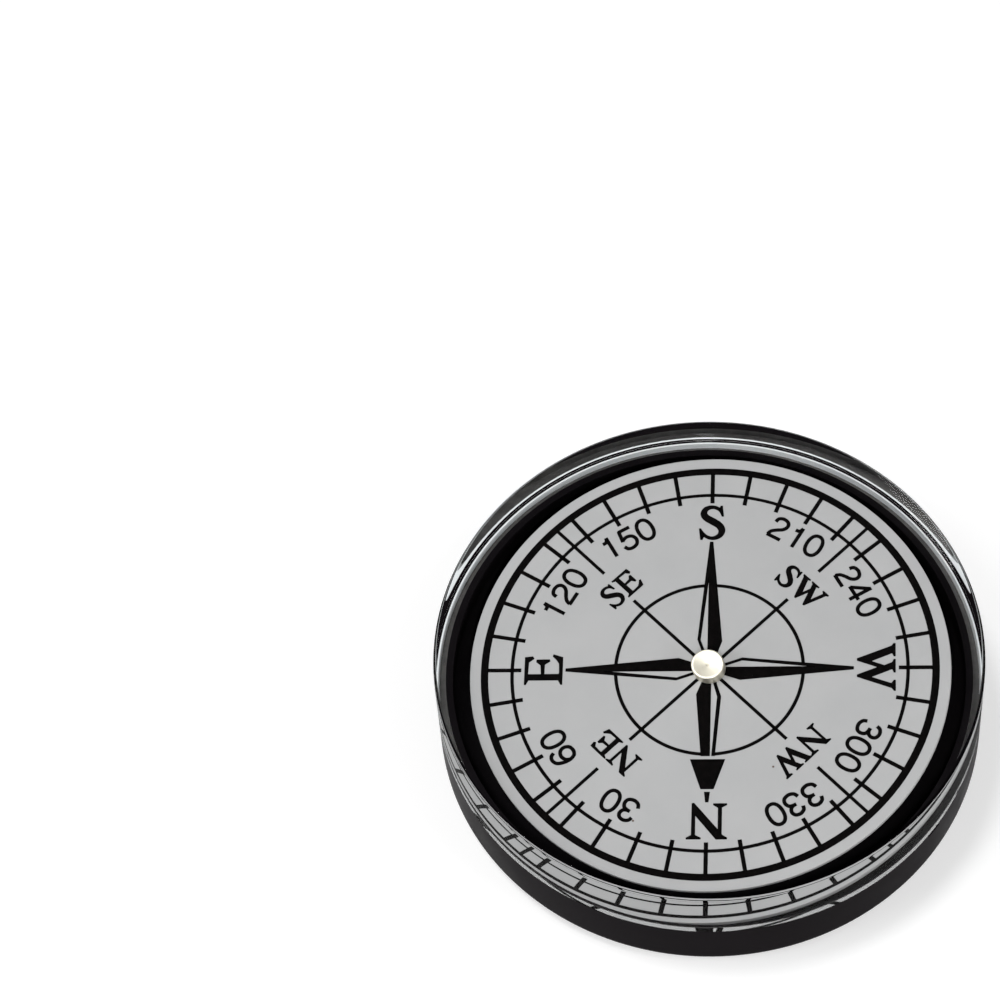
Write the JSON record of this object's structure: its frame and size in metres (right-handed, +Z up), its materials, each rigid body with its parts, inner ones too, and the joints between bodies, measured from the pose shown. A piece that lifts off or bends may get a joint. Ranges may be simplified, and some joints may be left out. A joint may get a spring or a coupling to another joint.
{
  "type": "magnetic compass",
  "caption": "Round liquid-damped magnetic compass: a black base tray and clear cover hold a numbered card that turns and leans on a needle point.",
  "frame": {"origin": "centre of the flat underside, on the axis of the needle pin", "axes": "+Z up out of the clear cover, -Y towards the viewer and the N mark of the card at rest, +X to the viewer's right"},
  "size_m": [0.08, 0.08, 0.0199],
  "materials": {
    "black_plastic": "smooth moulded black plastic, semi-gloss",
    "clear_acrylic": "clear polished acrylic",
    "pale_seal": "pale grey seal, satin",
    "needle_steel": "ground steel",
    "turned_brass": "turned brass",
    "polished_cap": "turned brass with a pale polished plating",
    "ruby": "polished synthetic ruby",
    "card_white": "grey-white printed card",
    "carrier_plastic": "moulded grey plastic",
    "magnet_alloy": "plain ground magnet",
    "dark_rubber": "soft black rubber"
  },
  "bodies": {
    "case": {"base_tray": "black_plastic", "clear_cover": "clear_acrylic", "seal_ring": "pale_seal", "pivot_bush": "turned_brass", "pivot_pin": "needle_steel", "filler_plug": "turned_brass", "plug_washer": "dark_rubber"},
    "jewel_body": {"jewel": "ruby"},
    "setting_body": {"jewel_setting": "turned_brass"},
    "card": {"bearing_cap": "polished_cap", "card_disc": "card_white", "magnet_carrier": "carrier_plastic", "magnet_left": "magnet_alloy", "magnet_right": "magnet_alloy", "stem_washer": "turned_brass", "balance_weight": "turned_brass"}
  },
  "joints": [
    {"name": "forward_lean", "type": "hinge", "parent": "case", "child": "jewel_body", "pos_m": [0, 0, 0.013], "axis": [1, 0, 0], "range_deg": [-9.8, 1.2]},
    {"name": "sideways_lean", "type": "hinge", "parent": "jewel_body", "child": "setting_body", "pos_m": [0, 0, 0.013], "axis": [0, 0.9972, 0.075], "range_deg": [-0.2, 10.8]},
    {"name": "card_turn", "type": "hinge", "parent": "setting_body", "child": "card", "pos_m": [0, 0, 0.013], "axis": [-0.0924, -0.0747, 0.9929], "continuous": true}
  ]
}
